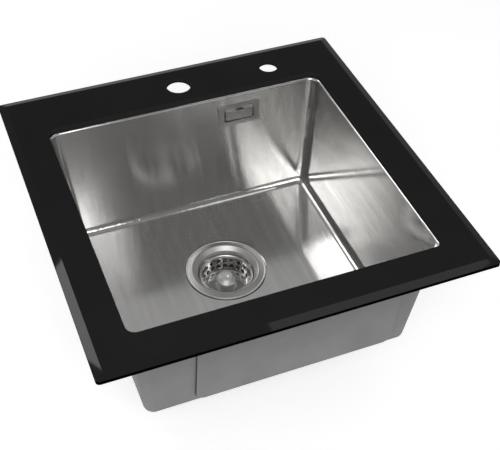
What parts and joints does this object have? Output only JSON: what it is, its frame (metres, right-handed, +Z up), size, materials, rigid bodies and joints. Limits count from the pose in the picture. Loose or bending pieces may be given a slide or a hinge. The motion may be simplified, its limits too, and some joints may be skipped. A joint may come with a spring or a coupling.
{
  "type": "glass-top kitchen sink",
  "caption": "Inset kitchen sink with a square satin steel bowl bonded under a black bevelled glass plate, basket strainer waste, overflow and worktop clips.",
  "frame": {"origin": "centre of the rim's seat plane, where the foam seal under the glass rests on the worktop", "axes": "+Z up, +X to the right seen from the front, +Y to the back, where the tap holes are"},
  "size_m": [0.5, 0.51, 0.278],
  "materials": {
    "glass": "black toughened glass, polished face, ground bevel",
    "satin_steel": "satin stainless steel, grey sprayed coat outside",
    "polished_steel": "polished stainless steel",
    "zinc_steel": "zinc plated steel",
    "deadening_pad": "deadening pad under a grey sprayed coat",
    "seal_foam": "closed-cell foam",
    "adhesive": "silicone adhesive",
    "rubber": "moulded rubber",
    "waste_plastic": "moulded polypropylene",
    "hose_plastic": "ribbed flexible hose"
  },
  "bodies": {
    "sink": {"glass_top": "glass", "bowl": "satin_steel", "overflow_frame": "satin_steel", "overflow_cover": "satin_steel", "strainer_cup": "polished_steel", "clip_studs": "zinc_steel", "strainer_screw": "zinc_steel", "overflow_screw": "zinc_steel", "hose_clip_upper": "zinc_steel", "hose_clip_lower": "zinc_steel", "pad_front": "deadening_pad", "pad_right": "deadening_pad", "pad_back": "deadening_pad", "pad_left": "deadening_pad", "pad_floor": "deadening_pad", "rim_gasket": "seal_foam", "glass_bond": "adhesive", "flange_seal": "rubber", "body_gasket": "rubber", "overflow_gasket": "rubber", "waste_body": "waste_plastic", "overflow_elbow": "waste_plastic", "overflow_hose": "hose_plastic"},
    "basket": {"strainer_basket": "polished_steel", "basket_knob": "polished_steel", "basket_stopper": "rubber"},
    "nut_left_front": {"clip_nut_left_front": "zinc_steel"},
    "arm_left_front": {"clip_arm_left_front": "zinc_steel"},
    "nut_left_rear": {"clip_nut_left_rear": "zinc_steel"},
    "arm_left_rear": {"clip_arm_left_rear": "zinc_steel"},
    "nut_right_front": {"clip_nut_right_front": "zinc_steel"},
    "arm_right_front": {"clip_arm_right_front": "zinc_steel"},
    "nut_right_rear": {"clip_nut_right_rear": "zinc_steel"},
    "arm_right_rear": {"clip_arm_right_rear": "zinc_steel"},
    "nut_rear_left": {"clip_nut_rear_left": "zinc_steel"},
    "arm_rear_left": {"clip_arm_rear_left": "zinc_steel"},
    "nut_rear_right": {"clip_nut_rear_right": "zinc_steel"},
    "arm_rear_right": {"clip_arm_rear_right": "zinc_steel"}
  },
  "joints": [
    {"name": "basket_lift", "type": "slide", "parent": "sink", "child": "basket", "axis": [0, 0, 1], "range_m": [0, 0.06]},
    {"name": "nut_travel_left_front", "type": "slide", "parent": "sink", "child": "nut_left_front", "axis": [0, 0, 1], "range_m": [0, 0.024]},
    {"name": "arm_swing_left_front", "type": "hinge", "parent": "nut_left_front", "child": "arm_left_front", "pos_m": [-0.217, -0.115, -0.0515], "axis": [0, 0, 1], "range_deg": [0, 90]},
    {"name": "nut_travel_left_rear", "type": "slide", "parent": "sink", "child": "nut_left_rear", "axis": [0, 0, 1], "range_m": [0, 0.024]},
    {"name": "arm_swing_left_rear", "type": "hinge", "parent": "nut_left_rear", "child": "arm_left_rear", "pos_m": [-0.217, 0.085, -0.0515], "axis": [0, 0, 1], "range_deg": [0, 90]},
    {"name": "nut_travel_right_front", "type": "slide", "parent": "sink", "child": "nut_right_front", "axis": [0, 0, 1], "range_m": [0, 0.024]},
    {"name": "arm_swing_right_front", "type": "hinge", "parent": "nut_right_front", "child": "arm_right_front", "pos_m": [0.217, -0.115, -0.0515], "axis": [0, 0, -1], "range_deg": [0, 90]},
    {"name": "nut_travel_right_rear", "type": "slide", "parent": "sink", "child": "nut_right_rear", "axis": [0, 0, 1], "range_m": [0, 0.024]},
    {"name": "arm_swing_right_rear", "type": "hinge", "parent": "nut_right_rear", "child": "arm_right_rear", "pos_m": [0.217, 0.085, -0.0515], "axis": [0, 0, -1], "range_deg": [0, 90]},
    {"name": "nut_travel_rear_left", "type": "slide", "parent": "sink", "child": "nut_rear_left", "axis": [0, 0, 1], "range_m": [0, 0.024]},
    {"name": "arm_swing_rear_left", "type": "hinge", "parent": "nut_rear_left", "child": "arm_rear_left", "pos_m": [-0.19, 0.222, -0.0515], "axis": [0, 0, -1], "range_deg": [0, 90]},
    {"name": "nut_travel_rear_right", "type": "slide", "parent": "sink", "child": "nut_rear_right", "axis": [0, 0, 1], "range_m": [0, 0.024]},
    {"name": "arm_swing_rear_right", "type": "hinge", "parent": "nut_rear_right", "child": "arm_rear_right", "pos_m": [0.19, 0.222, -0.0515], "axis": [0, 0, 1], "range_deg": [0, 90]}
  ]
}
